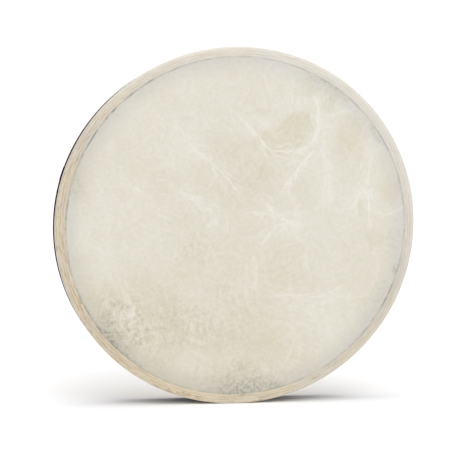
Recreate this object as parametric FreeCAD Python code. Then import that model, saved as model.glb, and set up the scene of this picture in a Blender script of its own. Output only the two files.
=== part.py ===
import FreeCAD, Part
import math
import os

# A fixed-head frame drum, standing on its rim as it does on a shelf.
#
# Seven thin wooden plies are bent into hoops and glued one inside the next to
# make a shallow round shell. A goatskin is stretched over the front edge of
# the shell and glued down its side. A dark band covers the side from the
# skin's cut edge to the back. The back is open.
#
# +X is to the right of someone who faces the head, +Y runs from the head to the
# open back, and +Z is up. The origin is on the floor, under the middle of the
# drum. All lengths are in millimetres.

# Driving dimensions
SHELL_DIAMETER = 406.0  # 16 in across the bare wood
SHELL_DEPTH = 57.0  # 2 1/4 in, front edge to back edge
PLY_THICKNESS = 1.5
PLY_COUNT = 7
SKIN_THICKNESS = 0.8
COLLAR_DEPTH = 25.0  # how far the skin reaches down the side
BAND_WIDTH = 30.0
BAND_THICKNESS = 0.8  # flush with the skin
BAND_GAP = 0.4  # between the skin's cut edge and the band

# Edges
FRONT_ROUND = 1.2  # the shell's outer front edge, which the skin turns over
BACK_ROUND = 1.0  # both back edges, where a hand holds the drum
INNER_FRONT_ROUND = 0.4  # keeps a sharp corner off the back of the skin

# Seams
SEAM_GAP = 0.4  # between the two ends of one ply
FIRST_SEAM_DEG = 48.0  # where the innermost ply's ends meet
SEAM_STEP_DEG = 137.5  # from each ply's seam to the next one's
LAP_START_DEG = 161.0  # where the band's outer end stops
LAP_LENGTH = 13.0  # how far the band's outer end lies over its inner end
LAP_HEIGHT = 0.4  # how far the outer end stands up, being pressed thin
LAP_RAMP = 5.0  # over which the band climbs onto its own end

# Worked out from those
SHELL_OUTER = SHELL_DIAMETER / 2
SHELL_INNER = SHELL_OUTER - PLY_COUNT * PLY_THICKNESS
SKIN_OUTER = SHELL_OUTER + SKIN_THICKNESS
DRUM_DEPTH = SHELL_DEPTH + SKIN_THICKNESS
HEAD_FRONT = -DRUM_DEPTH / 2
SHELL_FRONT = HEAD_FRONT + SKIN_THICKNESS
SHELL_BACK = DRUM_DEPTH / 2
COLLAR_END = SHELL_FRONT + COLLAR_DEPTH
BAND_FRONT = COLLAR_END + BAND_GAP
CENTRE_HEIGHT = SKIN_OUTER  # the drum stands on the collar and the band

ORIGIN = FreeCAD.Vector(0, 0, 0)
DRUM_AXIS = FreeCAD.Vector(0, 1, 0)
FULL_TURN = 360.0


def profile_point(radius, y):
    """A point of a hoop's section, before the section is swept round."""
    return FreeCAD.Vector(radius, y, 0)


def section(corners):
    """A closed face from its corners in order. Each corner is (radius, y,
    rounding), and a rounding of 0 leaves it sharp. Every corner is square,
    with its sides along the axes."""
    edges = []
    starts = []
    ends = []
    count = len(corners)
    for i, (radius, y, rounding) in enumerate(corners):
        here = profile_point(radius, y)
        before = profile_point(*corners[i - 1][:2])
        after = profile_point(*corners[(i + 1) % count][:2])
        towards_before = (before - here).normalize() * rounding
        towards_after = (after - here).normalize() * rounding
        starts.append(here + towards_before)
        ends.append(here + towards_after)
        if rounding > 0:
            centre = here + towards_before + towards_after
            outward = (here - centre).normalize() * rounding
            edges.append(Part.Arc(starts[i], centre + outward, ends[i]).toShape())
    for i in range(count):
        edges.append(Part.LineSegment(ends[i - 1], starts[i]).toShape())
    return Part.Face(Part.Wire(Part.sortEdges(edges)[0]))


def swept(face, start_deg=0.0, turn_deg=FULL_TURN):
    """The solid that a section makes as it goes round the drum's axis, lifted
    to the height of the drum's centre. 0 degrees is at +X and 90 at the top."""
    solid = face.revolve(ORIGIN, DRUM_AXIS, -turn_deg)
    solid.rotate(ORIGIN, DRUM_AXIS, -start_deg)
    solid.translate(FreeCAD.Vector(0, 0, CENTRE_HEIGHT))
    return solid


def shell_ply(number):
    """One bent ply, counted from the inside. Its ends butt with a fine gap."""
    inner = SHELL_INNER + (number - 1) * PLY_THICKNESS
    outer = inner + PLY_THICKNESS
    innermost = number == 1
    outermost = number == PLY_COUNT
    corners = [
        (inner, SHELL_FRONT, INNER_FRONT_ROUND if innermost else 0),
        (outer, SHELL_FRONT, FRONT_ROUND if outermost else 0),
        (outer, SHELL_BACK, BACK_ROUND if outermost else 0),
        (inner, SHELL_BACK, BACK_ROUND if innermost else 0),
    ]
    gap_deg = math.degrees(SEAM_GAP / inner)
    seam = FIRST_SEAM_DEG + (number - 1) * SEAM_STEP_DEG
    return swept(section(corners), seam + gap_deg / 2, FULL_TURN - gap_deg)


def goatskin_head():
    """The skin: a flat membrane, a turn over the shell's front edge, and a
    collar that ends in the cut edge."""
    corners = [
        (0, HEAD_FRONT, 0),
        (SKIN_OUTER, HEAD_FRONT, FRONT_ROUND + SKIN_THICKNESS),
        (SKIN_OUTER, COLLAR_END, 0),
        (SHELL_OUTER, COLLAR_END, 0),
        (SHELL_OUTER, SHELL_FRONT, FRONT_ROUND),
        (0, SHELL_FRONT, 0),
    ]
    return swept(section(corners))


def round_point(radius, angle):
    """A point in the plane across the drum's axis, angle in radians."""
    return FreeCAD.Vector(radius * math.cos(angle), 0, radius * math.sin(angle))


def round_arc(radius, start, end):
    """An arc about the drum's axis, in the plane across it."""
    middle = (start + end) / 2
    return Part.Arc(
        round_point(radius, start),
        round_point(radius, middle),
        round_point(radius, end),
    ).toShape()


def side_band():
    """The dark band. It goes once round the bare side and a little more, so
    that its outer end lies on top of its inner end."""
    outer = SHELL_OUTER + BAND_THICKNESS
    lap_outer = outer + LAP_HEIGHT
    root = SHELL_OUTER + BAND_THICKNESS / 2  # inside the first layer
    lap_start = math.radians(LAP_START_DEG)
    lap_end = lap_start + LAP_LENGTH / outer
    ramp_end = lap_end + LAP_RAMP / outer
    lap_edges = [
        Part.LineSegment(round_point(root, lap_start), round_point(lap_outer, lap_start)).toShape(),
        round_arc(lap_outer, lap_start, lap_end),
        Part.LineSegment(round_point(lap_outer, lap_end), round_point(root, ramp_end)).toShape(),
        round_arc(root, ramp_end, lap_start),
    ]
    width = FreeCAD.Vector(0, BAND_WIDTH, 0)
    lap = Part.Face(Part.Wire(lap_edges)).extrude(width)
    lap.translate(FreeCAD.Vector(0, BAND_FRONT, CENTRE_HEIGHT))
    corners = [
        (SHELL_OUTER, BAND_FRONT, 0),
        (outer, BAND_FRONT, 0),
        (outer, BAND_FRONT + BAND_WIDTH, 0),
        (SHELL_OUTER, BAND_FRONT + BAND_WIDTH, 0),
    ]
    return swept(section(corners)).fuse(lap).removeSplitter()


def ply_name(number):
    """The innermost and outermost plies say which they are."""
    if number == 1:
        return "shell_ply_1_inner"
    if number == PLY_COUNT:
        return f"shell_ply_{number}_outer"
    return f"shell_ply_{number}"


def main():
    os.makedirs("parts", exist_ok=True)
    nodes = {
        "goatskin_head": goatskin_head(),
        "side_band": side_band(),
    }
    for number in range(1, PLY_COUNT + 1):
        nodes[ply_name(number)] = shell_ply(number)
    for name, shape in nodes.items():
        solids = shape.Solids
        if len(solids) != 1 or not solids[0].isValid():
            raise ValueError(f"{name} is not one valid solid")
        solids[0].exportStep(os.path.join("parts", name + ".step"))
        print(f"{name}: {solids[0].Volume:.0f} mm3")


main()
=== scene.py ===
import itertools
import math

import bmesh
import bpy
import numpy as np
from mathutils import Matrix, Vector


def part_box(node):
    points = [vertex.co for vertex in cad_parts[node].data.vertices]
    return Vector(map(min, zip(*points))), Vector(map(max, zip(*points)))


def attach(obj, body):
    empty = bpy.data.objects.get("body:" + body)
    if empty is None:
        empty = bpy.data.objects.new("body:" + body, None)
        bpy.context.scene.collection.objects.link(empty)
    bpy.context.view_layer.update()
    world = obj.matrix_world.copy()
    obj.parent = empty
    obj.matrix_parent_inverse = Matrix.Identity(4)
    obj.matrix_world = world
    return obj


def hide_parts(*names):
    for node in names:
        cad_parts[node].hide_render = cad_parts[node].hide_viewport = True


# The looks of a fixed-head frame drum: a goatskin glued over a shell of seven
# bent plies, with a woven band round the bare part of the side.
#
# The drum stands on its rim. Its axis runs along Y, the head faces -Y and the
# open back faces +Y. Angles go round the axis from +X, and 90 degrees is the
# top. All lengths are in metres.

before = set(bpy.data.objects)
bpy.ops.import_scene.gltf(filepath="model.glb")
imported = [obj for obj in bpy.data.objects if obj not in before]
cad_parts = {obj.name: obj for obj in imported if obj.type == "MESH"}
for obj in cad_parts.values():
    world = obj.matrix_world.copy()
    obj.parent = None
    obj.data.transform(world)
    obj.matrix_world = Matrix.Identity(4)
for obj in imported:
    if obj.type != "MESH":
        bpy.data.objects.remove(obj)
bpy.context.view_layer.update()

MM = 0.001

# ---- the frame

PLY_NAMES = sorted(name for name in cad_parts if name.startswith("shell_ply"))
skin_low, skin_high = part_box("goatskin_head")
band_low, band_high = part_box("side_band")
first_ply_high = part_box(PLY_NAMES[0])[1]
last_ply_low, last_ply_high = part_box(PLY_NAMES[-1])

CENTRE_HEIGHT = (skin_low.z + skin_high.z) / 2
SKIN_RADIUS = round(skin_high.x, 4)
SHELL_RADIUS = round(last_ply_high.x, 4)
PLY_THICKNESS = round((last_ply_high.x - first_ply_high.x) / (len(PLY_NAMES) - 1), 4)
SHELL_INSIDE = SHELL_RADIUS - len(PLY_NAMES) * PLY_THICKNESS
SKIN_THICKNESS = SKIN_RADIUS - SHELL_RADIUS
HEAD_FRONT = skin_low.y
COLLAR_END = skin_high.y
SHELL_FRONT = last_ply_low.y
SHELL_BACK = last_ply_high.y
BAND_FRONT = band_low.y
BAND_BACK = band_high.y
BAND_THICKNESS = round(band_high.x, 4) - SHELL_RADIUS

# ---- the real drum

LONG_AXIS_DEG = 22.0  # the shell is bent by hand, and is a hair oval
OVALITY = 0.0128  # how far the radius goes each way, as a share of it
BEARING_START = 194.5 * MM  # from here out the front edge is eased back
BEARING_DROP = 0.45 * MM
CORNER_RADIUS = 1.2 * MM  # of the wood's outer front edge
INNER_FRONT_ROUND = 0.4 * MM
BACK_ROUND = 1.0 * MM
HIDE_SLACK = 0.12 * MM  # how far the stretched skin is from flat
PLEAT_HEIGHT = 0.16 * MM
CUT_WANDER = 0.7 * MM  # how unevenly the skin's edge is cut

FIRST_SEAM_DEG = 48.0
SEAM_STEP_DEG = 137.5
SEAM_GAP = 0.4 * MM
LAP_START_DEG = 161.0
LAP_LENGTH = 13.0 * MM
LAP_RAMP = 5.0 * MM
LAP_PRESSED = 0.5  # how much thinner the band's outer end has been pressed

# ---- small tools


def linear(red, green, blue):
    """A colour given as it looks on a screen, from 0 to 255, for a shader."""
    parts = []
    for part in (red, green, blue):
        share = part / 255
        parts.append(share / 12.92 if share <= 0.04045 else ((share + 0.055) / 1.055) ** 2.4)
    return (*parts, 1.0)


def smooth_step(value, low, high):
    """0 below low, 1 above high, and a smooth rise between them."""
    part = np.clip((value - low) / (high - low), 0, 1)
    return part * part * (3 - 2 * part)


def cloud(points, size, seed):
    """Smooth noise from -1 to 1 at 3-D points, with lumps of about that size."""
    cells = 48
    table = np.random.RandomState(seed).uniform(-1, 1, (cells, cells, cells))
    place = points / size
    low = np.floor(place).astype(int)
    part = place - low
    part = part * part * (3 - 2 * part)
    total = np.zeros(len(place))
    for corner in itertools.product((0, 1), repeat=3):
        weight = np.prod(np.where(corner, part, 1 - part), axis=1)
        index = (low + corner) % cells
        total += weight * table[index[:, 0], index[:, 1], index[:, 2]]
    return total


def layered_cloud(points, size, seed):
    """Noise with three sizes of lump, each half as large and as strong."""
    shares = (1.0, 0.5, 0.25)
    total = np.zeros(len(points))
    for layer, share in enumerate(shares):
        total += share * cloud(points, size * share, seed + layer)
    return total / sum(shares)


def on_circle(angles, radius=SHELL_RADIUS, third=0):
    """Points round the drum's axis, where noise meets itself after one turn.
    The third coordinate is free."""
    return np.stack([radius * np.cos(angles), radius * np.sin(angles), third + 0 * angles], 1)


def set_back(radii):
    """How far the front edge is eased back at each radius."""
    share = (radii - BEARING_START) / (SHELL_RADIUS - BEARING_START)
    return BEARING_DROP * np.clip(share, 0, 1) ** 2


def in_place(radii, y, angles):
    """Points of the drum from their radius, depth and angle, with the shell's
    slight oval, stood on the floor."""
    turned = angles - math.radians(LONG_AXIS_DEG)
    bent = radii * (1 + OVALITY * np.cos(2 * turned))
    down = math.radians(-90 - LONG_AXIS_DEG)
    foot = SKIN_RADIUS * (1 + OVALITY * math.cos(2 * down))
    x = bent * np.cos(angles)
    z = np.maximum(foot + bent * np.sin(angles), 0)
    return np.stack([x, y, z], 1)


def make_piece(name, points, faces):
    """A smooth-shaded mesh object from its points and faces."""
    mesh = bpy.data.meshes.new(name)
    mesh.from_pydata(points.tolist(), [], faces)
    solid = bmesh.new()
    solid.from_mesh(mesh)
    bmesh.ops.recalc_face_normals(solid, faces=solid.faces)
    solid.to_mesh(mesh)
    solid.free()
    mesh.shade_smooth()
    piece = bpy.data.objects.new(name, mesh)
    bpy.context.scene.collection.objects.link(piece)
    return piece


def give(piece, name, values):
    """A value or a vector for each point, which the material reads by name."""
    values = np.asarray(values, np.float32)
    kind, key = ("FLOAT", "value") if values.ndim == 1 else ("FLOAT_VECTOR", "vector")
    attribute = piece.data.attributes.new(name, kind, "POINT")
    attribute.data.foreach_set(key, values.ravel())


def arc_points(centre, radius, start_deg, end_deg, steps):
    """Points of an arc in a section, as (radius, y) pairs."""
    turns = np.radians(np.linspace(start_deg, end_deg, steps + 1))
    return [(centre[0] + radius * math.cos(t), centre[1] + radius * math.sin(t)) for t in turns]


# ---- the head

DISC_STEPS = 116  # squares from the middle of the skin to its edge
BACK_STEPS = DISC_STEPS // 2
SKIN_CORNER = CORNER_RADIUS + SKIN_THICKNESS
FLAT_RADIUS = SKIN_RADIUS - SKIN_CORNER
HIDDEN_RADIUS = SHELL_INSIDE + 2 * MM  # under the wood, where the back's squares grow
CORNER_LENGTH = math.pi / 2 * SKIN_CORNER
HIDE_LENGTH = FLAT_RADIUS + CORNER_LENGTH + COLLAR_END - HEAD_FRONT - SKIN_CORNER


def disc_squares(steps):
    """A disc cut into squares of even size, as places (radius from 0 to 1,
    angle), faces, and the points of its edge in order."""
    side = np.arange(-steps, steps + 1)
    a, b = [grid.ravel().astype(float) for grid in np.meshgrid(side, side, indexing="ij")]
    wide = np.abs(a) >= np.abs(b)
    reach = np.where(wide, a, b)
    safe = np.where(reach == 0, 1, reach)
    turn = np.where(wide, b / safe * math.pi / 4, math.pi / 2 - a / safe * math.pi / 4)
    radii = np.abs(reach) / steps
    angles = np.where(reach < 0, turn + math.pi, turn)
    row = 2 * steps + 1
    faces = []
    for i in range(row - 1):
        for j in range(row - 1):
            first = i * row + j
            faces.append((first, first + row, first + row + 1, first + 1))
    edge = np.flatnonzero(np.abs(reach) == steps)
    edge = edge[np.argsort(np.mod(angles[edge] + 1e-6, 2 * math.pi))]
    return radii, np.mod(angles, 2 * math.pi), faces, edge


def ring_faces(first, second):
    """Squares between two rings of points that have the same count."""
    count = len(first)
    return [(first[i - 1], first[i], second[i], second[i - 1]) for i in range(count)]


def halving_faces(first, second):
    """Triangles between a ring of points and a ring of half as many."""
    faces = []
    count = len(second)
    for i in range(count):
        start, middle, end = first[2 * i], first[2 * i + 1], first[(2 * i + 2) % (2 * count)]
        here, after = second[i], second[(i + 1) % count]
        faces += [(start, middle, here), (middle, after, here), (middle, end, after)]
    return faces


def collar_section():
    """The skin's section from the flat's edge, round the corner, down the
    side, round the cut edge and back up inside: (radius, y, length of hide
    from the head's middle)."""
    corner_y = HEAD_FRONT + SKIN_CORNER
    lip = SKIN_THICKNESS / 2
    outside = arc_points((FLAT_RADIUS, corner_y), SKIN_CORNER, -90, 0, 6)[1:]
    for share in np.linspace(0, 1, 13)[1:]:
        outside.append((SKIN_RADIUS, corner_y + share * (COLLAR_END - lip - corner_y)))
    turned = arc_points((SKIN_RADIUS - lip, COLLAR_END - lip), lip, 0, 180, 4)[1:]
    inside = [(SHELL_RADIUS, corner_y + share * (COLLAR_END - corner_y)) for share in (0.6, 0.3, 0)]
    inside += arc_points((FLAT_RADIUS, corner_y), CORNER_RADIUS, 0, -90, 3)[1:]
    return outside, turned + inside


def head_mesh():
    """Points (radius, y, angle, hide length, inner side or not) and faces."""
    disc_r, disc_angle, faces, edge = disc_squares(DISC_STEPS)
    disc, each = np.ones(len(disc_r)), np.ones(len(edge))
    flat = disc_r * FLAT_RADIUS
    rows = [(flat, HEAD_FRONT * disc, disc_angle, flat, 0 * disc)]
    edge_angle = disc_angle[edge]
    count = len(disc_r)
    ring = edge
    outside, inside = collar_section()
    length = FLAT_RADIUS
    before = (FLAT_RADIUS, HEAD_FRONT)
    for is_inner, points in ((0, outside), (1, inside)):
        for point in points:
            step = math.dist(point, before)
            length += -step if is_inner else step
            fresh = np.arange(count, count + len(edge))
            faces += ring_faces(ring, fresh)
            rows.append((point[0] * each, point[1] * each, edge_angle, length * each, is_inner * each))
            ring = fresh
            before = point
            count += len(edge)
    back_r, back_angle, back_faces, back_edge = disc_squares(BACK_STEPS)
    for face in back_faces:
        faces.append(tuple(count + corner for corner in reversed(face)))
    faces += halving_faces(ring, back_edge + count)
    back, hidden = np.ones(len(back_r)), back_r * HIDDEN_RADIUS
    rows.append((hidden, (HEAD_FRONT + SKIN_THICKNESS) * back, back_angle, hidden, back))
    return [np.concatenate(part) for part in zip(*rows)] + [faces]


FEATHER_REACH = 0.05  # how far a vein's feathering goes, as a share of the radius
SPLAY = math.radians(20)  # between a vein and the barbs that leave it
BARB_WIDTH = 0.14  # of a barb, as a share of its length
VEIN_FADE = 3.2  # how many of its widths a vein's strength reaches
BARE_SHARE = 0.35  # how many of a vein's stretches have no twig
TWIG_TURN = (0.35, 0.9)  # from its vein, in radians
TWIG_REACH = (0.02, 0.055)  # as a share of the radius
WARM_SIDE_DEG = 220.0  # where round the rim the colours are warmest

# Marks in the hide. Each place is (to the right, up) as a share of the head's
# radius. A vein is (its width in mm, its strength, its points).
VEINS = [
    (1.6, 0.95, [(0.0, 0.62), (0.06, 0.56), (0.11, 0.5), (0.15, 0.45), (0.2, 0.415), (0.31, 0.41)]),
    (3.4, 0.45, [(0.08, 0.62), (0.12, 0.575), (0.14, 0.54)]),
    (2.6, 0.8, [(0.31, 0.41), (0.38, 0.43), (0.43, 0.48), (0.455, 0.54), (0.46, 0.62), (0.45, 0.7)]),
    (5.5, 0.4, [(0.46, 0.66), (0.475, 0.56), (0.47, 0.46), (0.5, 0.38)]),
    (1.6, 0.6, [(0.47, 0.53), (0.51, 0.55), (0.54, 0.54)]),
    (1.8, 0.55, [(0.46, 0.6), (0.55, 0.61), (0.62, 0.63), (0.7, 0.66)]),
    (1.8, 0.9, [(0.43, 0.42), (0.38, 0.37), (0.33, 0.31), (0.3, 0.26), (0.275, 0.2)]),
    (1.4, 0.45, [(0.31, 0.16), (0.315, 0.1), (0.325, 0.04)]),
    (8.0, 0.34, [(0.5, 0.38), (0.505, 0.28), (0.51, 0.18), (0.52, 0.08)]),
    (2.0, 0.85, [(0.165, 0.12), (0.19, 0.09), (0.225, 0.05), (0.27, 0.025), (0.325, 0.005)]),
    (1.6, 0.65, [(0.06, 0.07), (0.12, 0.065), (0.18, 0.05), (0.225, 0.05)]),
    (2.4, 0.7, [(0.33, 0.005), (0.26, 0.01), (0.21, -0.01), (0.175, -0.045), (0.14, -0.1)]),
    (1.4, 0.45, [(0.33, 0.0), (0.27, -0.03), (0.2, -0.05)]),
    (2.2, 0.5, [(0.09, -0.17), (0.1, -0.23), (0.1, -0.29), (0.085, -0.36)]),
    (1.3, 0.4, [(0.05, -0.2), (0.055, -0.3), (0.045, -0.38)]),
    (1.4, 0.6, [(0.75, 0.38), (0.735, 0.3), (0.72, 0.23), (0.71, 0.2)]),
    (1.7, 0.8, [(0.71, 0.2), (0.675, 0.17), (0.65, 0.12), (0.64, 0.09)]),
    (1.7, 0.85, [(0.7, 0.21), (0.725, 0.17), (0.735, 0.1), (0.735, 0.03)]),
    (1.4, 0.5, [(0.62, 0.15), (0.6, 0.11), (0.585, 0.06)]),
    (1.5, 0.65, [(0.83, 0.06), (0.87, 0.07), (0.91, 0.085), (0.95, 0.11)]),
    (1.8, 0.5, [(0.89, 0.01), (0.93, 0.02), (0.96, 0.04)]),
    (1.5, 0.6, [(-0.345, 0.56), (-0.31, 0.52), (-0.275, 0.47), (-0.24, 0.43)]),
    (2.4, 0.75, [(-0.24, 0.43), (-0.2, 0.395), (-0.16, 0.355)]),
    (1.5, 0.8, [(-0.17, 0.37), (-0.125, 0.325), (-0.07, 0.28), (-0.02, 0.22), (0.01, 0.18)]),
    (1.6, 0.75, [(-0.33, 0.2), (-0.28, 0.16), (-0.22, 0.12), (-0.17, 0.095), (-0.14, 0.07)]),
    (3.2, 0.65, [(-0.13, 0.055), (-0.125, 0.02), (-0.13, 0.0)]),
    (2.6, 0.5, [(-0.075, 0.065), (-0.065, 0.03), (-0.07, 0.0)]),
    (1.8, 0.55, [(-0.6, 0.235), (-0.565, 0.21), (-0.53, 0.185)]),
    (1.3, 0.35, [(-0.2, -0.08), (-0.17, -0.11), (-0.15, -0.125)]),
    (1.8, 0.6, [(0.2, -0.39), (0.28, -0.39), (0.36, -0.395), (0.43, -0.405), (0.55, -0.375)]),
    (1.5, 0.45, [(0.42, -0.41), (0.47, -0.44), (0.53, -0.43), (0.6, -0.4)]),
    (1.4, 0.4, [(0.22, -0.41), (0.29, -0.45), (0.36, -0.47), (0.42, -0.5)]),
    (1.4, 0.4, [(0.17, -0.34), (0.19, -0.37), (0.2, -0.39)]),
    (1.5, 0.45, [(0.33, -0.64), (0.31, -0.7), (0.29, -0.76), (0.35, -0.78), (0.36, -0.72), (0.33, -0.65)]),
    (1.5, 0.4, [(-0.8, -0.1), (-0.77, -0.12), (-0.72, -0.155)]),
    (3.0, 0.45, [(-0.62, -0.36), (-0.58, -0.44), (-0.6, -0.49)]),
    (2.0, 0.45, [(-0.45, -0.52), (-0.44, -0.56), (-0.43, -0.61)]),
    (1.3, 0.5, [(0.3, 0.68), (0.305, 0.74), (0.33, 0.8)]),
    (1.2, 0.45, [(0.345, 0.66), (0.34, 0.72), (0.35, 0.78)]),
    (1.2, 0.4, [(0.385, 0.68), (0.375, 0.74), (0.385, 0.79)]),
]

# A patch is (strength, place, half its width and height, tilt in degrees).
STAINS = [
    (1.0, (0.235, 0.475), (0.165, 0.078), 8),
    (0.9, (0.34, 0.55), (0.09, 0.08), 40),
    (0.8, (0.51, 0.67), (0.03, 0.05), -15),
    (0.7, (0.57, 0.73), (0.085, 0.03), -30),
    (0.55, (0.38, 0.77), (0.075, 0.06), 0),
    (0.6, (0.625, 0.43), (0.02, 0.018), 0),
    (0.7, (0.69, 0.1), (0.022, 0.045), 0),
    (0.34, (0.62, 0.52), (0.075, 0.085), 0),
]
TAN_PATCHES = [
    (0.3, (0.61, 0.52), (0.085, 0.1), 0),
    (0.6, (0.12, 0.64), (0.09, 0.016), 5),
    (0.5, (0.03, 0.22), (0.17, 0.11), 20),
    (0.45, (-0.08, 0.42), (0.12, 0.12), 0),
    (0.45, (0.2, 0.34), (0.08, 0.1), 0),
    (0.55, (0.36, 0.17), (0.06, 0.08), 0),
    (0.75, (-0.9, 0.25), (0.045, 0.13), 25),
    (0.55, (-0.63, 0.16), (0.045, 0.035), 0),
    (0.5, (-0.44, 0.27), (0.06, 0.05), 0),
    (0.7, (0.87, 0.2), (0.07, 0.06), 0),
    (0.6, (0.75, -0.08), (0.07, 0.06), 0),
    (0.55, (0.59, -0.33), (0.05, 0.035), 0),
    (0.35, (0.28, -0.12), (0.09, 0.07), 0),
    (0.45, (0.25, -0.3), (0.16, 0.07), 0),
    (0.4, (0.1, -0.55), (0.16, 0.16), 0),
    (0.5, (-0.28, 0.02), (0.09, 0.04), 0),
    (0.45, (-0.15, -0.6), (0.3, 0.08), 0),
    (0.65, (0.0, -0.8), (0.08, 0.06), 0),
    (0.8, (0.0, -0.88), (0.2, 0.05), 0),
]
PALE_PATCHES = [
    (0.7, (0.185, 0.57), (0.08, 0.06), -40),
    (0.45, (0.27, 0.66), (0.09, 0.06), 0),
    (0.45, (0.5, 0.28), (0.06, 0.18), 0),
    (0.4, (-0.35, 0.43), (0.12, 0.11), 0),
    (0.55, (-0.73, 0.08), (0.11, 0.14), 0),
    (0.35, (-0.52, 0.55), (0.2, 0.16), 0),
    (0.35, (-0.1, 0.78), (0.35, 0.12), 0),
    (0.4, (0.62, -0.52), (0.18, 0.17), 0),
    (0.45, (-0.28, -0.77), (0.12, 0.09), 0),
    (0.5, (0.24, -0.83), (0.11, 0.06), 0),
    (0.4, (-0.7, -0.24), (0.08, 0.07), 0),
    (0.3, (0.3, 0.03), (0.12, 0.06), 0),
    (0.9, (-0.9, 0.02), (0.075, 0.15), 0),
    (0.6, (-0.66, 0.08), (0.18, 0.12), 10),
    (0.9, (0.8, 0.47), (0.06, 0.13), -30),
    (0.6, (0.16, 0.9), (0.2, 0.06), -10),
]
SPECKLED_PATCHES = [
    (1.0, (-0.6, -0.55), (0.2, 0.13), -35),
    (0.6, (-0.3, -0.54), (0.23, 0.15), 0),
    (0.35, (-0.05, -0.5), (0.18, 0.2), 0),
    (0.45, (0.07, 0.3), (0.09, 0.08), 0),
    (0.45, (-0.2, -0.12), (0.15, 0.1), 0),
    (0.5, (0.02, -0.84), (0.33, 0.07), 0),
    (0.4, (0.6, 0.7), (0.2, 0.08), -35),
    (0.12, (0.0, 0.0), (0.9, 0.9), 0),
]
GRIME_PATCHES = [
    (1.0, (0.0, -0.94), (0.18, 0.024), 1),
    (0.7, (0.165, -0.924), (0.1, 0.018), 10),
    (0.6, (0.03, -0.912), (0.2, 0.042), 3),
    (0.36, (0.15, -0.89), (0.07, 0.03), -20),
    (0.2, (0.03, -0.87), (0.22, 0.07), 0),
    (1.0, (-0.7, -0.64), (0.15, 0.017), -48),
    (0.9, (-0.825, -0.47), (0.1, 0.015), -60),
    (0.5, (-0.6, -0.735), (0.06, 0.014), -39),
    (0.36, (-0.69, -0.6), (0.13, 0.045), -50),
    (0.5, (0.91, -0.28), (0.085, 0.026), 68),
    (0.4, (0.85, -0.43), (0.11, 0.022), 62),
    (0.38, (0.73, -0.61), (0.12, 0.022), 49),
    (0.16, (0.78, -0.45), (0.14, 0.065), 60),
    (0.16, (0.88, -0.08), (0.12, 0.05), 82),
    (0.36, (0.5, 0.8), (0.14, 0.022), -32),
    (0.36, (0.79, 0.5), (0.11, 0.022), -58),
    (0.26, (-0.9, 0.22), (0.09, 0.03), 76),
]
AGED_PATCHES = [
    (1.0, (-0.62, -0.62), (0.42, 0.38), 0),
    (0.75, (-0.1, -0.8), (0.6, 0.26), 0),
    (0.35, (0.72, -0.5), (0.2, 0.22), 0),
    (0.25, (-0.86, -0.12), (0.1, 0.4), 0),
    (0.4, (0.0, 0.18), (0.3, 0.28), 0),
    (0.35, (-0.05, -0.35), (0.5, 0.35), 0),
]

# Stretches of the rim, as (strength, middle and half width in degrees): where the wood under the skin is
# darker or yellower, and where the painted shadow line along the shell's inner edge is darker.
RIM_SHADES = [(1.0, 168, 40), (0.9, 212, 22), (1.25, 333, 36), (0.3, 12, 30)]
RIM_GOLDS = [(1.0, 250, 24)]
LINE_SHADES = [(1.0, 138, 28), (0.8, 172, 22), (0.9, 214, 15)]
LINE_SHADES += [(0.5, 275, 14), (0.7, 335, 20), (0.3, 20, 45)]


def soft_patches(across, up, patches, inside=0.55, outside=1.35):
    """The strongest of some ovals at each place. Their edges fade from the
    inside share of their size to the outside share."""
    total = np.zeros(len(across))
    for strength, (middle_a, middle_u), (half_wide, half_high), tilt in patches:
        turn = math.radians(tilt)
        a, u = across - middle_a, up - middle_u
        along = (a * math.cos(turn) + u * math.sin(turn)) / half_wide
        over = (u * math.cos(turn) - a * math.sin(turn)) / half_high
        oval = 1 - smooth_step(np.hypot(along, over), inside, outside)
        total = np.maximum(total, strength * oval)
    return total


def round_the_rim(angles, stretches):
    """The strongest of some soft-ended stretches of the rim at each angle."""
    total = np.zeros(len(angles))
    for strength, middle_deg, half_deg in stretches:
        turn = np.mod(np.degrees(angles) - middle_deg + 180, 360) - 180
        total = np.maximum(total, strength * np.exp(-((turn / half_deg) ** 2)))
    return total


def twigs(width, strength, points, random):
    """Short side branches of a vein, thinner and fainter than it is."""
    made = []
    for start, end in zip(points[:-1], points[1:]):
        if random.uniform() < BARE_SHARE:
            continue
        run = end - start
        turn = random.choice([-1, 1]) * random.uniform(*TWIG_TURN)
        reach = random.uniform(*TWIG_REACH) / np.hypot(*run)
        forward = np.array([
            run[0] * math.cos(turn) - run[1] * math.sin(turn),
            run[0] * math.sin(turn) + run[1] * math.cos(turn),
        ])
        root = start + random.uniform(0.2, 0.9) * run
        elbow = root + 0.5 * reach * forward
        tip = elbow + 0.5 * reach * (forward + random.uniform(-0.4, 0.4) * run)
        made.append((0.7 * width, 0.6 * strength, np.array([root, elbow, tip])))
    return made


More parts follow.
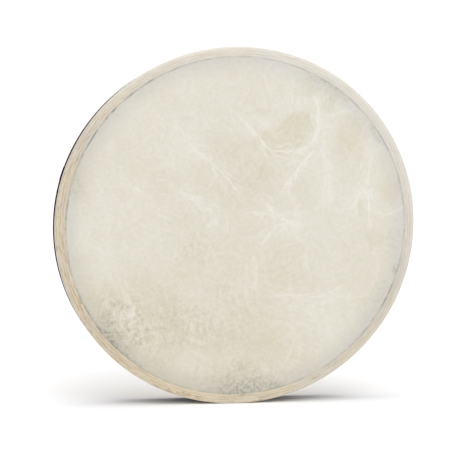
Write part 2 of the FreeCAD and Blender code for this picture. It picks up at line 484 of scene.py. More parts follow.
def vein_field(across, up):
    """For each place: how far it is to one side or the other of the nearest
    vein, in widths of that vein; how strong the vein is there; a place in the
    feathering of the nearest vein, whose barbs slant away from it on both
    sides; and how strong that is."""
    random = np.random.RandomState(7)
    veins = []
    for width, strength, points in VEINS:
        points = np.array(points)
        veins.append((width, strength, points))
        veins += twigs(width, strength, points, random)
    here = np.stack([across, up], 1)
    side = np.full(len(across), 9.0)
    power = np.zeros(len(across))
    feather = np.zeros(len(across))
    barbs = np.zeros((len(across), 3))
    for number, (width, strength, points) in enumerate(veins):
        lengths = np.hypot(*np.diff(points, axis=0).T)
        behind = 0.0
        for start, end, length in zip(points[:-1], points[1:], lengths):
            run = end - start
            ahead = (here - start) @ run / length**2
            share = np.clip(ahead, 0, 1)
            gap = here - start - share[:, None] * run
            off = (run[0] * (here - start)[:, 1] - run[1] * (here - start)[:, 0]) / length
            away = np.hypot(*gap.T)
            along = (behind + share * length) / lengths.sum()
            taper = np.clip(1.3 - abs(2 * along - 1) ** 3, 0.3, 1)
            widths = away * SKIN_RADIUS / (width * MM)
            here_power = strength * taper * np.exp(-((widths / VEIN_FADE) ** 2))
            nearer = here_power > power
            power = np.where(nearer, here_power, power)
            side = np.where(nearer, np.sign(off) * widths, side)
            here_feather = strength * np.exp(-((away / FEATHER_REACH) ** 2))
            nearer = here_feather > feather
            feather = np.where(nearer, here_feather, feather)
            on = behind + ahead * length
            over = abs(off) * math.cos(SPLAY) - on * math.sin(SPLAY)
            on = on * math.cos(SPLAY) + abs(off) * math.sin(SPLAY)
            place = np.stack([over, BARB_WIDTH * on, 0.3 * number + 0.15 * (off > 0)], 1)
            barbs = np.where(nearer[:, None], place * SKIN_RADIUS, barbs)
            behind += length
    return side, power, barbs, feather


def paint_hide(piece, radii, angles, hides, inner):
    """The marks of the hide, the tones round the rim, and how strong the painted shadow line at the
    shell's inner edge is, for the material to read.
    """
    hide = on_circle(angles, hides, 0.02 * inner)
    wander = 0.012 * np.stack([layered_cloud(hide, 24 * MM, seed) for seed in (11, 21)], 1)
    fine_wander = 0.005 * np.stack([cloud(hide, 5 * MM, seed) for seed in (31, 41)], 1)
    across, up = (hide[:, :2] / SKIN_RADIUS + wander + fine_wander).T
    ragged = 2.2 * wander + 2 * fine_wander
    rough_across, rough_up = across + ragged[:, 0], up + ragged[:, 1]
    side, power, barbs, feather = vein_field(across, up)
    breaks = 0.8 + 0.4 * layered_cloud(hide, 9 * MM, 51)
    warm = (0.5 + 0.5 * np.cos(angles - math.radians(WARM_SIDE_DEG))) ** 1.5
    give(piece, "hide_place", hide)
    give(piece, "rim_place", on_circle(angles, SHELL_INSIDE, radii))
    give(piece, "hide_length", hides)
    give(piece, "inner_side", inner)
    give(piece, "vein_side", side)
    give(piece, "vein_power", power * breaks)
    give(piece, "barb_place", barbs)
    give(piece, "feather", feather)
    give(piece, "stain", soft_patches(across, up, STAINS, 0.9, 1.06))
    ragged_patches = {"tan_patch": TAN_PATCHES, "pale_patch": PALE_PATCHES}
    ragged_patches.update({"speckled": SPECKLED_PATCHES, "grime": GRIME_PATCHES})
    for name, patches in ragged_patches.items():
        give(piece, name, soft_patches(rough_across, rough_up, patches))
    give(piece, "aged", soft_patches(across, up, AGED_PATCHES))
    give(piece, "rim_warm", warm)
    rim_stretches = {"rim_shade": RIM_SHADES, "rim_gold": RIM_GOLDS, "line_shade": LINE_SHADES}
    for name, stretches in rim_stretches.items():
        give(piece, name, round_the_rim(angles, stretches))


def goatskin_head():
    """The skin: a tight membrane, a turn over the shell's edge, and a collar
    with low pleats that ends in an uneven cut."""
    radii, y, angles, hides, inner, faces = head_mesh()
    collar = smooth_step(y, HEAD_FRONT + SKIN_CORNER, COLLAR_END)
    outside = 1 - inner
    pleats = np.maximum(layered_cloud(on_circle(angles), 13 * MM, 71), 0)
    cut = layered_cloud(on_circle(angles), 30 * MM, 81)
    free = 1 - smooth_step(radii, SHELL_INSIDE - 30 * MM, SHELL_INSIDE)
    slack = layered_cloud(on_circle(angles, hides), 70 * MM, 91) * free
    ease = set_back(radii) * (y < HEAD_FRONT + SKIN_CORNER)
    shaped_y = y + ease + HIDE_SLACK * slack + CUT_WANDER * (cut - 0.6) * collar
    shaped_r = radii + PLEAT_HEIGHT * pleats * collar * outside
    piece = make_piece("goatskin", in_place(shaped_r, shaped_y, angles), faces)
    paint_hide(piece, radii, angles, hides, inner)
    return piece


# ---- the shell

HOOP_STEPS = 480


def ply_section(number):
    """The corners of one ply's section, rounded, as (radius, y) points that go
    round it."""
    inner = SHELL_INSIDE + (number - 1) * PLY_THICKNESS
    outer = inner + PLY_THICKNESS
    innermost = number == 1
    outermost = number == len(PLY_NAMES)
    recess = 0.0 if number % 2 else 0.06 * MM
    eased = 0.08 * MM
    clear = 0.01 * MM
    front_in = INNER_FRONT_ROUND if innermost else eased
    front_out = CORNER_RADIUS if outermost else eased
    back_in = BACK_ROUND if innermost else eased
    back_out = BACK_ROUND if outermost else eased
    inner += clear
    outer -= clear
    front = SHELL_FRONT + 2 * clear
    back = SHELL_BACK - recess
    points = arc_points((inner + front_in, front + front_in), front_in, 180, 270, 4)
    points += arc_points((outer - front_out, front + front_out), front_out, -90, 0, 4)
    points += [(outer, front + share * (back - front)) for share in (0.25, 0.5, 0.75)]
    points += arc_points((outer - back_out, back - back_out), back_out, 0, 90, 4)
    points += arc_points((inner + back_in, back - back_in), back_in, 90, 180, 4)
    points += [(inner, front + share * (back - front)) for share in np.linspace(1, 0, 9)[1:-1]]
    return np.array(points)


def swept_strip(name, section_r, section_y, angles):
    """A closed section carried round the axis from the first angle to the
    last, with both ends capped. section_r and section_y have a row for each
    angle."""
    rows, columns = section_r.shape
    turned = np.repeat(angles, columns)
    points = in_place(section_r.ravel(), section_y.ravel(), turned)
    faces = []
    for i in range(rows - 1):
        for j in range(columns):
            after = (j + 1) % columns
            here, there = i * columns, (i + 1) * columns
            faces.append((here + j, here + after, there + after, there + j))
    faces.append(tuple(reversed(range(columns))))
    faces.append(tuple((rows - 1) * columns + j for j in range(columns)))
    return make_piece(name, points, faces)


def shell_ply(number):
    """One bent ply. Its ends nearly meet at its own seam."""
    section = ply_section(number)
    gap = SEAM_GAP / section[:, 0].min()
    seam = math.radians(FIRST_SEAM_DEG + (number - 1) * SEAM_STEP_DEG)
    angles = np.linspace(seam + gap / 2, seam + 2 * math.pi - gap / 2, HOOP_STEPS + 1)
    shape = (len(angles), 1)
    section_r = np.tile(section[:, 0], shape)
    section_y = np.tile(section[:, 1], shape)
    at_front = section[:, 1] < SHELL_FRONT + CORNER_RADIUS + 0.1 * MM
    section_y = section_y + set_back(section_r) * at_front
    places = on_circle(np.repeat(angles, len(section)), section_r.ravel(), section_y.ravel())
    hand_worked = 0.05 * MM * layered_cloud(places, 22 * MM, 100 + number).reshape(section_r.shape)
    at_back = section[:, 1] > SHELL_BACK - BACK_ROUND
    section_y = section_y + np.minimum(hand_worked, 0) * at_back
    piece = swept_strip(f"shell_ply_{number}_wood", section_r, section_y, angles)
    arc = np.repeat((angles - angles[0]) * SHELL_INSIDE, len(section))
    give(piece, "grain", np.stack([arc, section_y.ravel(), section_r.ravel() + 0.05 * number], 1))
    give(piece, "end_gap", np.minimum(arc, arc.max() - arc))
    return piece


# ---- the band


def side_band():
    """The woven band: one strip, wound once round the side, whose outer end
    lies on its inner end."""
    root = SHELL_RADIUS + 0.02 * MM
    whole = 2 * math.pi * SHELL_RADIUS + LAP_LENGTH
    near = np.linspace(0, LAP_LENGTH + LAP_RAMP, 25)
    rest = np.linspace(LAP_LENGTH + LAP_RAMP, whole, 521)[1:]
    along = np.concatenate([near, rest])
    angles = math.radians(LAP_START_DEG) + along / SHELL_RADIUS
    lapped = 1 - smooth_step(along, LAP_LENGTH, LAP_LENGTH + LAP_RAMP)
    middle = (BAND_FRONT + BAND_BACK) / 2
    half = (BAND_BACK - BAND_FRONT) / 2
    edge = BAND_THICKNESS / 2
    section = arc_points((edge, half - edge), edge * 0.98, 0, 180, 6)
    section += [(0.0, half * share) for share in (0.5, 0.0, -0.5)]
    section += arc_points((edge, edge - half), edge * 0.98, 180, 360, 6)
    crown = np.linspace(-1, 1, 15)[1:-1]
    selvedge = 0.06 * MM
    section += [(BAND_THICKNESS - selvedge * (abs(c) < 0.86), c * (half - edge)) for c in crown]
    section = np.array(section)
    section_r = root + BAND_THICKNESS * lapped[:, None]
    section_r = section_r + section[None, :, 0] * (1 - LAP_PRESSED * lapped[:, None])
    sway = 0.15 * MM * layered_cloud(on_circle(angles), 60 * MM, 131)
    section_y = middle + section[None, :, 1] + sway[:, None] * 0.6
    outside = section[None, :, 0] > edge
    ripple = layered_cloud(on_circle(angles), 16 * MM, 141)
    section_r = section_r + 0.05 * MM * ripple[:, None] * outside
    piece = swept_strip("side_band_tape", section_r, section_y, angles)
    place = np.stack([
        np.repeat(along, len(section)),
        np.tile(section[:, 1], len(angles)),
        section_r.ravel(),
    ], 1)
    give(piece, "tape_place", place)
    give(piece, "free_end", np.repeat(along, len(section)))
    return piece


# ---- materials


class Surface:
    """A material while it is built. Each method adds nodes and returns the
    socket that carries their result."""

    def __init__(self, name):
        self.material = bpy.data.materials.new(name)
        self.material.use_nodes = True
        self.tree = self.material.node_tree
        self.shader = self.tree.nodes["Principled BSDF"]

    def add(self, kind, inputs, output=0, **settings):
        node = self.tree.nodes.new("ShaderNode" + kind)
        for key, value in settings.items():
            setattr(node, key, value)
        for key, value in inputs.items():
            if isinstance(value, bpy.types.NodeSocket):
                self.tree.links.new(value, node.inputs[key])
            else:
                node.inputs[key].default_value = value
        return node.outputs[output]

    def value(self, name):
        return self.add("Attribute", {}, "Fac", attribute_name=name)

    def place(self, name, scale=(1, 1, 1)):
        """A vector attribute, stretched."""
        vector = self.add("Attribute", {}, "Vector", attribute_name=name)
        return self.add("Mapping", {0: vector, 3: scale})

    def slanted(self, place, turn_deg, stretch):
        """A place turned about Z, so that a pattern there runs at that angle
        and is that many times longer than it is wide."""
        turn = (0.0, 0.0, math.radians(turn_deg))
        inputs = {0: place, 2: turn, 3: (stretch, 1.0, 1.0)}
        return self.add("Mapping", inputs, vector_type="TEXTURE")

    def part(self, vector, axis):
        return self.add("SeparateXYZ", {0: vector}, axis)

    def noise(self, place, size, detail=2.0, roughness=0.5, warp=0.0):
        """Noise from 0 to 1, with lumps of about that size."""
        inputs = {"Vector": place, "Scale": 1 / size, "Detail": detail}
        inputs.update({"Roughness": roughness, "Distortion": warp})
        return self.add("TexNoise", inputs)

    def warped(self, place, size, reach):
        """The place, pushed about by noise, up to about reach / 2 each way."""
        push = self.add("TexNoise", {"Vector": place, "Scale": 1 / size}, 1)
        push = self.add("VectorMath", {0: push, 1: (0.5, 0.5, 0.5)}, operation="SUBTRACT")
        push = self.add("VectorMath", {0: push, 3: reach}, operation="SCALE")
        return self.add("VectorMath", {0: place, 1: push}, operation="ADD")

    def dots(self, place, size):
        """How far each place is from the nearest of some scattered dots."""
        return self.add("TexVoronoi", {"Vector": place, "Scale": 1 / size}, "Distance")

    def maths(self, operation, first, second=0.0):
        return self.add("Math", {0: first, 1: second}, operation=operation)

    def times(self, first, second):
        return self.maths("MULTIPLY", first, second)

    def plus(self, first, second):
        return self.maths("ADD", first, second)

    def graded(self, start, value, slope):
        """start, plus the value times slope."""
        return self.plus(start, self.times(value, slope))

    def rise(self, value, low, high, top=1.0):
        """0 up to low, top from high on, and smooth between them."""
        inputs = {"Value": value, "From Min": low, "From Max": high, "To Min": 0.0, "To Max": top}
        return self.add("MapRange", inputs, interpolation_type="SMOOTHSTEP")

    def fall(self, value, low, high, top=1.0):
        """top up to low, 0 from high on, and smooth between them."""
        return self.maths("SUBTRACT", top, self.rise(value, low, high, top))

    def ridge(self, value, middle, half):
        """1 where the value is at the middle, and 0 half away from it."""
        away = self.maths("ABSOLUTE", self.maths("SUBTRACT", value, middle))
        return self.fall(away, 0.0, half)

    def tint(self, factor, first, second):
        inputs = {0: factor, 6: first, 7: second}
        return self.add("Mix", inputs, 2, data_type="RGBA")

    def wash(self, factor, share, first, second):
        """The first colour, tinted by that share of the factor."""
        return self.tint(self.times(factor, share), first, second)

    def bump(self, height, distance, strength=1.0):
        inputs = {"Height": height, "Distance": distance, "Strength": strength}
        return self.add("Bump", inputs)

    def finish(self, colour, roughness, normal, **settings):
        """Joins the results to the shader, and sets its even values."""
        for key, value in (("Base Color", colour), ("Roughness", roughness), ("Normal", normal)):
            self.tree.links.new(value, self.shader.inputs[key])
        for key, value in settings.items():
            self.shader.inputs[key.replace("_", " ")].default_value = value
        return self.material


IVORY = linear(208, 205, 191)
BEIGE = linear(203, 197, 179)
GREY_IVORY = linear(205, 203, 192)
PALE_LILAC = linear(220, 218, 211)
VEIN_WHITE = linear(229, 227, 223)
TAN = linear(190, 181, 156)
AGED = linear(190, 182, 157)
STAIN = linear(191, 185, 156)
SPECK = linear(156, 136, 114)
SHADED_SKIN = linear(162, 161, 167)
WARM_SHADED_SKIN = linear(160, 157, 146)
GRIME = linear(112, 114, 104)
WOOD_UNDER_SKIN = linear(206, 203, 194)
WARM_WOOD_UNDER_SKIN = linear(207, 196, 174)
DARK_WOOD_UNDER_SKIN = linear(166, 157, 145)
HONEY = linear(214, 196, 154)
KNOT = linear(150, 116, 90)
PLY_LINE = linear(164, 140, 115)
# painted shadow along the shell's inner edge, seen through the skin
SHELL_EDGE_SHADOW = linear(118, 126, 128)
ROSY = linear(208, 198, 190)
SALLOW = linear(199, 199, 177)
# pale streaks in the wood, and the painted highlight at the rim's outer edge and corner
PALE_STREAK_AND_HIGHLIGHT = linear(224, 219, 208)
GLUED_EDGE = linear(150, 128, 98)
FLESH_SIDE = linear(214, 200, 168)

BIRCH = linear(214, 180, 132)
BIRCH_DARK = linear(186, 146, 98)
CROSS = linear(176, 134, 90)
CROSS_DARK = linear(140, 100, 62)
WOOD_FLECK = linear(120, 84, 50)
WOOD_AMBER = linear(196, 148, 88)
DRY_GLUE = linear(168, 116, 58)

MAROON = linear(60, 12, 34)
MAROON_DEEP = linear(30, 5, 17)
MAROON_LIGHT = linear(82, 30, 50)
MAROON_FADED = linear(68, 28, 42)

STREAK_TURNS = (15, 62, 108, 158)  # which ways the hide's pale streaks lie, in degrees
RIB_PITCH = 1.1 * MM
THREAD_PITCH = 0.7 * MM


def goatskin_surface():
    """Scraped goatskin: ivory and beige clouds, pale veins and the lace between them, specks and grime,
    painted shade towards the wood, and the shell's plies showing through where the skin lies on wood, with
    a painted shadow line at the shell's inner edge and a painted highlight towards its outer edge."""
    skin = Surface("goatskin_hide")
    hide = skin.place("hide_place")
    rim = skin.place("rim_place")
    radius = skin.part(rim, "Z")
    length = skin.value("hide_length")
    warm = skin.value("rim_warm")

    # Clouds, from as wide as a hand to a few millimetres.
    broad = skin.noise(hide, 0.12, 2.0, 0.5, 0.3)
    middle = skin.noise(hide, 0.034, 5.0, 0.62, 0.5)
    small = skin.noise(hide, 0.0085, 4.0, 0.6, 0.3)
    fine = skin.noise(hide, 0.0042, 2.0, 0.55)
    colour = skin.tint(skin.rise(broad, 0.35, 0.68, 0.55), IVORY, BEIGE)
    colour = skin.tint(skin.rise(middle, 0.46, 0.66, 0.35), colour, GREY_IVORY)
    colour = skin.tint(skin.fall(middle, 0.3, 0.5, 0.16), colour, TAN)
    patches = {"aged": (0.6, AGED), "tan_patch": (0.38, TAN), "stain": (0.56, STAIN)}
    patches["pale_patch"] = (0.32, PALE_LILAC)
    for name, (share, patch_colour) in patches.items():
        colour = skin.wash(skin.value(name), share, colour, patch_colour)
    rosy = skin.noise(skin.warped(hide, 0.02, 0.01), 0.0065, 3.0, 0.6)
    colour = skin.tint(skin.rise(rosy, 0.42, 0.7, 0.4), colour, ROSY)
    colour = skin.tint(skin.fall(rosy, 0.3, 0.5, 0.4), colour, SALLOW)

    # Lace: short pale streaks that cross, and thin wisps between them.
    lace = 0.0
    for number, turn in enumerate(STREAK_TURNS):
        lie = skin.slanted(skin.warped(hide, 0.03, 0.01), turn, 6.0)
        streak = skin.rise(skin.noise(lie, 0.0044, 4.0, 0.6), 0.48, 0.68)
        where = skin.add("VectorMath", {0: hide, 1: (0.0, 0.0, 0.1 * number)}, operation="ADD")
        here = skin.rise(skin.noise(where, 0.045, 3.0, 0.6), 0.46, 0.6)
        lace = skin.maths("MAXIMUM", lace, skin.times(streak, here))
    wisps = skin.noise(skin.warped(hide, 0.012, 0.012), 0.016, 4.0, 0.6)
    lace = skin.maths("MAXIMUM", lace, skin.times(skin.ridge(wisps, 0.5, 0.035), 0.7))
    colour = skin.wash(lace, 0.34, colour, PALE_LILAC)

    # Specks, strongest in the lower left.
    speckled = skin.value("speckled")
    stroke = skin.noise(skin.slanted(skin.warped(hide, 0.012, 0.008), 100, 1.4), 0.0056, 4.0, 0.75)
    speck = skin.plus(skin.rise(small, 0.48, 0.66, 0.6), skin.rise(stroke, 0.5, 0.6, 0.9))
    colour = skin.wash(skin.times(speckled, speck), 0.36, colour, SPECK)
    light_speck = skin.times(speckled, skin.fall(stroke, 0.38, 0.48))
    colour = skin.wash(light_speck, 0.24, colour, PALE_LILAC)
    colour = skin.tint(skin.rise(fine, 0.35, 0.65, 0.05), colour, SPECK)

    # Veins, and the feathering that slants away from them.
    power = skin.value("vein_power")
    wriggle = skin.graded(skin.times(skin.plus(small, -0.5), 2.0), skin.plus(fine, -0.5), 0.6)
    side = skin.plus(skin.value("vein_side"), wriggle)
    vein = skin.times(skin.ridge(side, 0.0, 1.1), power)
    feather = skin.value("feather")
    barb = skin.rise(skin.noise(skin.place("barb_place"), 0.0042, 3.0, 0.55, 0.5), 0.47, 0.66)
    halo = skin.times(feather, skin.plus(0.15, barb))
    colour = skin.wash(halo, 0.62, colour, PALE_LILAC)
    colour = skin.wash(vein, 0.44, colour, VEIN_WHITE)

    # Painted shade: the skin is darkened and greyed towards the wood, where the shell keeps back the light
    # that would come through the skin from behind.
    shade_near_wood = skin.rise(radius, SHELL_INSIDE - 34 * MM, SHELL_INSIDE)
    shade_near_wood = skin.times(shade_near_wood, shade_near_wood)
    shade_near_wood = skin.times(shade_near_wood, skin.graded(0.26, warm, 0.1))
    shade = skin.tint(warm, SHADED_SKIN, WARM_SHADED_SKIN)
    colour = skin.tint(skin.times(shade_near_wood, skin.graded(0.6, middle, 0.8)), colour, shade)
    spots = skin.rise(skin.noise(hide, 0.0036, 5.0, 0.75), 0.46, 0.58)
    grime = skin.times(skin.value("grime"), skin.graded(0.3, spots, 1.3))
    colour = skin.wash(grime, 0.4, colour, GRIME)

    # The plies under the skin, from the shell's inside out and over the corner, with a painted highlight
    # towards their outer edge and a painted shadow line at the shell's inside.
    wander = skin.noise(rim, 0.02, 2.0)
    wavy = skin.graded(radius, skin.plus(wander, -0.5), 0.7 * MM)
    streak = skin.noise(skin.place("rim_place", (1, 1, 24)), 0.023, 4.0, 0.65)
    on_wood = skin.rise(wavy, SHELL_INSIDE - 0.3 * MM, SHELL_INSIDE + 0.9 * MM)
    wood = skin.tint(warm, WOOD_UNDER_SKIN, WARM_WOOD_UNDER_SKIN)
    wood = skin.wash(skin.value("rim_shade"), 0.4, wood, DARK_WOOD_UNDER_SKIN)
    wood = skin.tint(skin.fall(streak, 0.28, 0.48, 0.35), wood, colour)
    honey = skin.noise(rim, 0.045, 3.0, 0.6)
    honey = skin.times(skin.rise(honey, 0.44, 0.62), skin.graded(0.06, warm, 0.34))
    gold = skin.value("rim_gold")
    wood = skin.tint(skin.maths("MAXIMUM", honey, skin.times(gold, 0.34)), wood, HONEY)
    brown = skin.times(skin.rise(streak, 0.48, 0.62), skin.graded(0.14, warm, 0.52))
    wood = skin.tint(skin.times(brown, skin.graded(1.0, gold, -0.55)), wood, PLY_LINE)
    dash = skin.noise(skin.place("rim_place", (1, 1, 9)), 0.0075, 3.0, 0.7)
    dark_dash = skin.times(skin.rise(dash, 0.54, 0.66), skin.graded(0.1, warm, 0.22))
    wood = skin.tint(dark_dash, wood, KNOT)
    wood = skin.wash(skin.fall(dash, 0.36, 0.46), 0.45, wood, PALE_STREAK_AND_HIGHLIGHT)
    knot = skin.rise(skin.noise(skin.place("rim_place", (1, 1, 2.5)), 0.016, 3.0, 0.6), 0.58, 0.66)
    wood = skin.tint(skin.times(knot, skin.times(warm, 0.55)), wood, KNOT)
    # Painted highlight: the wood under the skin is lightened towards its outer edge, strongest on the
    # right and top of the rim away from the warm side, where light from above catches the rounded corner.
    outward = skin.rise(radius, SHELL_INSIDE, SHELL_RADIUS)
    wood = skin.tint(skin.times(outward, skin.fall(warm, 0.2, 0.7, 0.3)), wood, PALE_STREAK_AND_HIGHLIGHT)
    turn = skin.times(skin.plus(wavy, -SHELL_INSIDE - PLY_THICKNESS / 2), math.pi / PLY_THICKNESS)
    odd_ply = skin.graded(0.5, skin.maths("COSINE", turn), 0.5)
    odd_ply = skin.times(odd_ply, skin.rise(streak, 0.3, 0.6))
    odd_ply = skin.times(odd_ply, skin.fall(length, FLAT_RADIUS - 1 * MM, FLAT_RADIUS + 1 * MM))
    wood = skin.tint(skin.times(odd_ply, skin.graded(0.26, warm, 0.34)), wood, PLY_LINE)
    past_corner = skin.rise(length, FLAT_RADIUS + 2 * MM, FLAT_RADIUS + 9 * MM)
    colour = skin.tint(skin.times(on_wood, skin.graded(0.9, past_corner, -0.8)), colour, wood)
    # Painted shadow: a thin grey line along the shell's inner edge, where the skin leaves the wood,
    # spotted and darker in some stretches round the rim.
    line = skin.ridge(wavy, SHELL_INSIDE - 0.3 * MM, 1.5 * MM)
    spotted = skin.plus(0.3, skin.rise(skin.noise(rim, 0.016, 4.0, 0.65), 0.4, 0.62))
    spotted = skin.times(spotted, skin.graded(0.2, skin.value("line_shade"), 0.6))
    colour = skin.tint(skin.times(line, spotted), colour, SHELL_EDGE_SHADOW)

    # The collar: mottled by the glue and finely creased across, with a pale line at the corner, partly the
    # skin whitened where it is stretched over the edge and partly a painted highlight, and a stained cut
    # edge.
    mottled = skin.rise(skin.noise(hide, 0.012, 4.0, 0.65), 0.44, 0.62)
    colour = skin.wash(skin.times(mottled, past_corner), 0.34, colour, AGED)
    crease = skin.times(skin.ridge(skin.noise(rim, 0.012, 3.0, 0.6), 0.5, 0.025), past_corner)
    colour = skin.tint(skin.times(crease, skin.times(mottled, 0.25)), colour, GLUED_EDGE)
    # Partly painted highlight: a pale line along the corner, where the skin is also whitened by the
    # stretch over the edge.
    pale_fold_and_highlight = skin.ridge(length, FLAT_RADIUS + 2.4 * MM, 1.4 * MM)
    colour = skin.tint(skin.times(pale_fold_and_highlight, skin.graded(0.05, streak, 0.3)), colour, PALE_STREAK_AND_HIGHLIGHT)
    cut = skin.rise(length, HIDE_LENGTH - 2.5 * MM, HIDE_LENGTH - 0.3 * MM)
    colour = skin.tint(skin.times(cut, skin.plus(0.1, small)), colour, GLUED_EDGE)

    # The flesh side, seen from the back, is yellower and more fibrous.
    inner = skin.value("inner_side")
    fibre = skin.noise(skin.place("hide_place", (1, 5, 1)), 0.012, 5.0, 0.7, 0.4)
    flesh = skin.tint(skin.rise(fibre, 0.35, 0.65, 0.6), colour, FLESH_SIDE)
    colour = skin.wash(inner, 0.8, colour, flesh)

    # Roots of hair, and a faint unevenness.
    pit = skin.fall(skin.dots(hide, 0.0016), 0.1, 0.35)
    colour = skin.tint(skin.times(pit, skin.rise(middle, 0.4, 0.6, 0.1)), colour, SPECK)
    rough = skin.graded(0.44, small, 0.2)
    rough = skin.graded(rough, vein, -0.06)
    height = skin.graded(skin.times(small, 0.5), fine, 0.35)
    height = skin.graded(height, pit, -0.2)
    height = skin.graded(height, skin.plus(vein, lace), 0.25)
    height = skin.graded(height, crease, -0.5)
    height = skin.graded(height, skin.times(odd_ply, on_wood), 0.25)
    normal = skin.bump(height, 0.1 * MM, 0.6)
    return skin.finish(colour, rough, normal, Specular_IOR_Level=0.35)


def wood_surface(name, light, dark, cross_grain):
    """Bent ply. Long grain runs round the hoop, and cross grain shows its
    pores at the edge."""
    wood = Surface(name)
    stretched = (1, 0.05, 1) if cross_grain else (0.012, 1, 1)
    place = wood.place("grain")
    along = wood.place("grain", stretched)
    drawn = wood.place("grain", (0.1, 1, 1))
    figure = wood.noise(drawn, 0.016, 4.0, 0.55, 0.9)
    fibre = wood.noise(along, 0.0016, 4.0, 0.65)
    fine = wood.noise(along, 0.0005, 2.0, 0.6)
    colour = wood.tint(wood.rise(figure, 0.35, 0.68), light, dark)
    colour = wood.tint(wood.rise(fibre, 0.42, 0.72, 0.6), colour, dark)
    fleck = wood.rise(wood.noise(drawn, 0.0011, 1.0), 0.63, 0.72)
    colour = wood.wash(fleck, 0.5, colour, WOOD_FLECK)
    blotch = wood.noise(place, 0.045, 3.0, 0.55, 0.4)
    colour = wood.tint(wood.rise(blotch, 0.45, 0.75, 0.35), colour, WOOD_AMBER)

    # Hands have darkened the back edge, and glue has run at the front.
    depth = wood.part(place, "Y")
    front = wood.graded(depth, blotch, -6 * MM)
    glue = wood.fall(front, SHELL_FRONT - 2.4 * MM, SHELL_FRONT - 0.6 * MM)
    colour = wood.wash(glue, 0.55, colour, DRY_GLUE)
    handled = wood.rise(depth, SHELL_BACK - 3 * MM, SHELL_BACK)
    colour = wood.tint(wood.times(handled, wood.times(blotch, 0.3)), colour, WOOD_FLECK)
    joint = wood.fall(wood.value("end_gap"), 0.0, 1.2 * MM)
    colour = wood.wash(joint, 0.6, colour, WOOD_FLECK)

    rough = wood.graded(0.36, fibre, 0.22)
    rough = wood.graded(rough, glue, -0.12)
    height = wood.graded(wood.times(fibre, 0.6), fine, 0.3)
    height = wood.graded(height, fleck, -0.5)
    normal = wood.bump(height, 0.12 * MM, 0.5)
    return wood.finish(colour, rough, normal, Coat_Weight=0.25, Coat_Roughness=0.3)


def tape_surface():
    """Maroon woven tape: fine ribs across it, threads along it, close-woven
    edges, and a little fading where hands hold the drum."""
    tape = Surface("maroon_tape")
    place = tape.place("tape_place")
    along = tape.part(place, "X")
    over = tape.part(place, "Y")
    rib = tape.maths("SINE", tape.times(along, 2 * math.pi / RIB_PITCH))
    thread = tape.maths("SINE", tape.times(over, 2 * math.pi / THREAD_PITCH))
    weave = tape.graded(0.5, tape.times(rib, thread), 0.5)
    fuzz = tape.noise(place, 0.0009, 3.0, 0.7)
    wear = tape.noise(place, 0.03, 4.0, 0.6, 0.3)
    slub = tape.noise(tape.place("tape_place", (0.06, 1, 1)), 0.0016, 2.0)
    half = (BAND_BACK - BAND_FRONT) / 2
    edge = tape.rise(tape.maths("ABSOLUTE", over), half - 2.2 * MM, half - 1.4 * MM)
    colour = tape.tint(tape.rise(weave, 0.2, 0.8), MAROON_DEEP, MAROON)
    colour = tape.tint(tape.rise(slub, 0.45, 0.7, 0.3), colour, MAROON_LIGHT)
    colour = tape.tint(tape.rise(wear, 0.48, 0.75, 0.35), colour, MAROON_FADED)
    colour = tape.wash(edge, 0.5, colour, MAROON_DEEP)
    frayed = tape.fall(tape.value("free_end"), 0.0, 1.5 * MM)
    colour = tape.tint(tape.times(frayed, fuzz), colour, MAROON_LIGHT)
    rough = tape.graded(0.78, fuzz, 0.2)
    height = tape.graded(tape.times(weave, 0.7), fuzz, 0.3)
    height = tape.graded(height, edge, 0.4)
    normal = tape.bump(height, 0.25 * MM, 0.7)
    return tape.finish(colour, rough, normal, Specular_IOR_Level=0.0)


# ---- the studio

VIEW_FROM_LEFT_DEG = 9.25
VIEW_FROM_ABOVE_DEG = 2.0
VIEW_DISTANCE = 1.8
LENS = 122.6
AIM_LEFT = 4.5 * MM  # so the drum stands a little right of the middle
AIM_BELOW = 7.7 * MM
STUDIO_WHITE = (1.0, 1.0, 1.0, 1.0)
WALL_STRENGTH = 1.02  # the sky near the horizon, a white wall all round
SKY_STRENGTH = 0.4  # overhead
WALL_TOP = 0.26  # where the wall has faded into the sky, as a sine
# (name, strength, how wide it is, its height, its turn towards +X), in degrees
LIGHTS = [
    ("front_light", 0.99, 44, 36, 5),
    ("top_light", 1.7, 70, 82, 0),
    ("back_light", 0.25, 70, 45, 165),
]


def direction(up_deg, right_deg):
    """From the drum, that far up and that far round towards +X from where the
    head faces."""
    up, turn = math.radians(up_deg), math.radians(right_deg)
    return Vector((
        math.cos(up) * math.sin(turn),
        -math.cos(up) * math.cos(turn),
        math.sin(up),
    ))


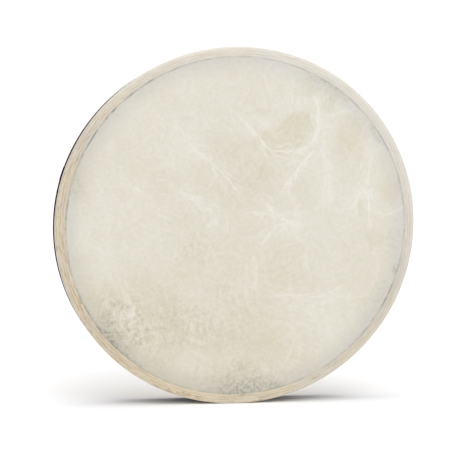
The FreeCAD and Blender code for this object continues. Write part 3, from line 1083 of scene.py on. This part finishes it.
def studio():
    """A white floor under a white sky that dims overhead, broad soft lights in
    front and above, and a weaker one behind."""
    bpy.ops.mesh.primitive_plane_add(size=30.0)
    floor = bpy.context.object
    floor.name = "floor"
    paper = Surface("white_floor")
    paper.shader.inputs["Base Color"].default_value = linear(252, 252, 253)
    paper.shader.inputs["Roughness"].default_value = 0.9
    paper.shader.inputs["Specular IOR Level"].default_value = 0.1
    floor.data.materials.append(paper.material)
    world = bpy.data.worlds.new("white_sky")
    world.use_nodes = True
    tree = world.node_tree
    where = tree.nodes.new("ShaderNodeTexCoord")
    height = tree.nodes.new("ShaderNodeSeparateXYZ")
    fade = tree.nodes.new("ShaderNodeMapRange")
    limits = {"From Min": WALL_TOP - 0.1, "From Max": WALL_TOP}
    limits.update({"To Min": WALL_STRENGTH, "To Max": SKY_STRENGTH})
    for key, value in limits.items():
        fade.inputs[key].default_value = value
    tree.links.new(where.outputs["Generated"], height.inputs[0])
    tree.links.new(height.outputs["Z"], fade.inputs["Value"])
    tree.links.new(fade.outputs["Result"], tree.nodes["Background"].inputs["Strength"])
    tree.nodes["Background"].inputs["Color"].default_value = STUDIO_WHITE
    bpy.context.scene.world = world
    for name, strength, spread, height_deg, right_deg in LIGHTS:
        lamp = bpy.data.lights.new(name, "SUN")
        lamp.energy = strength
        lamp.angle = math.radians(spread)
        light = bpy.data.objects.new(name, lamp)
        towards = direction(height_deg, right_deg)
        light.rotation_euler = towards.to_track_quat("Z", "Y").to_euler()
        bpy.context.scene.collection.objects.link(light)


def camera():
    """Looks at the head from a little towards -X and a little above."""
    out = direction(VIEW_FROM_ABOVE_DEG, -VIEW_FROM_LEFT_DEG)
    aim = Vector((-AIM_LEFT, 0, CENTRE_HEIGHT - AIM_BELOW))
    lens = bpy.data.cameras.new("camera")
    lens.lens = LENS
    lens.clip_end = 100.0
    eye = bpy.data.objects.new("camera", lens)
    eye.location = aim + VIEW_DISTANCE * out
    eye.rotation_euler = out.to_track_quat("Z", "Y").to_euler()
    bpy.context.scene.collection.objects.link(eye)
    bpy.context.scene.camera = eye
    bpy.context.scene.view_settings.view_transform = "Standard"


# ---- the drum


def build_drum():
    head = goatskin_head()
    head.data.materials.append(goatskin_surface())
    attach(head, "root")
    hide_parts("goatskin_head")

    band = side_band()
    band.data.materials.append(tape_surface())
    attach(band, "root")
    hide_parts("side_band")

    long_grain = wood_surface("long_grain_wood", BIRCH, BIRCH_DARK, False)
    cross_grain = wood_surface("cross_grain_wood", CROSS, CROSS_DARK, True)
    for number, name in enumerate(PLY_NAMES, 1):
        ply = shell_ply(number)
        ply.data.materials.append(long_grain if number % 2 else cross_grain)
        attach(ply, "root")
        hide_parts(name)


studio()
camera()
build_drum()
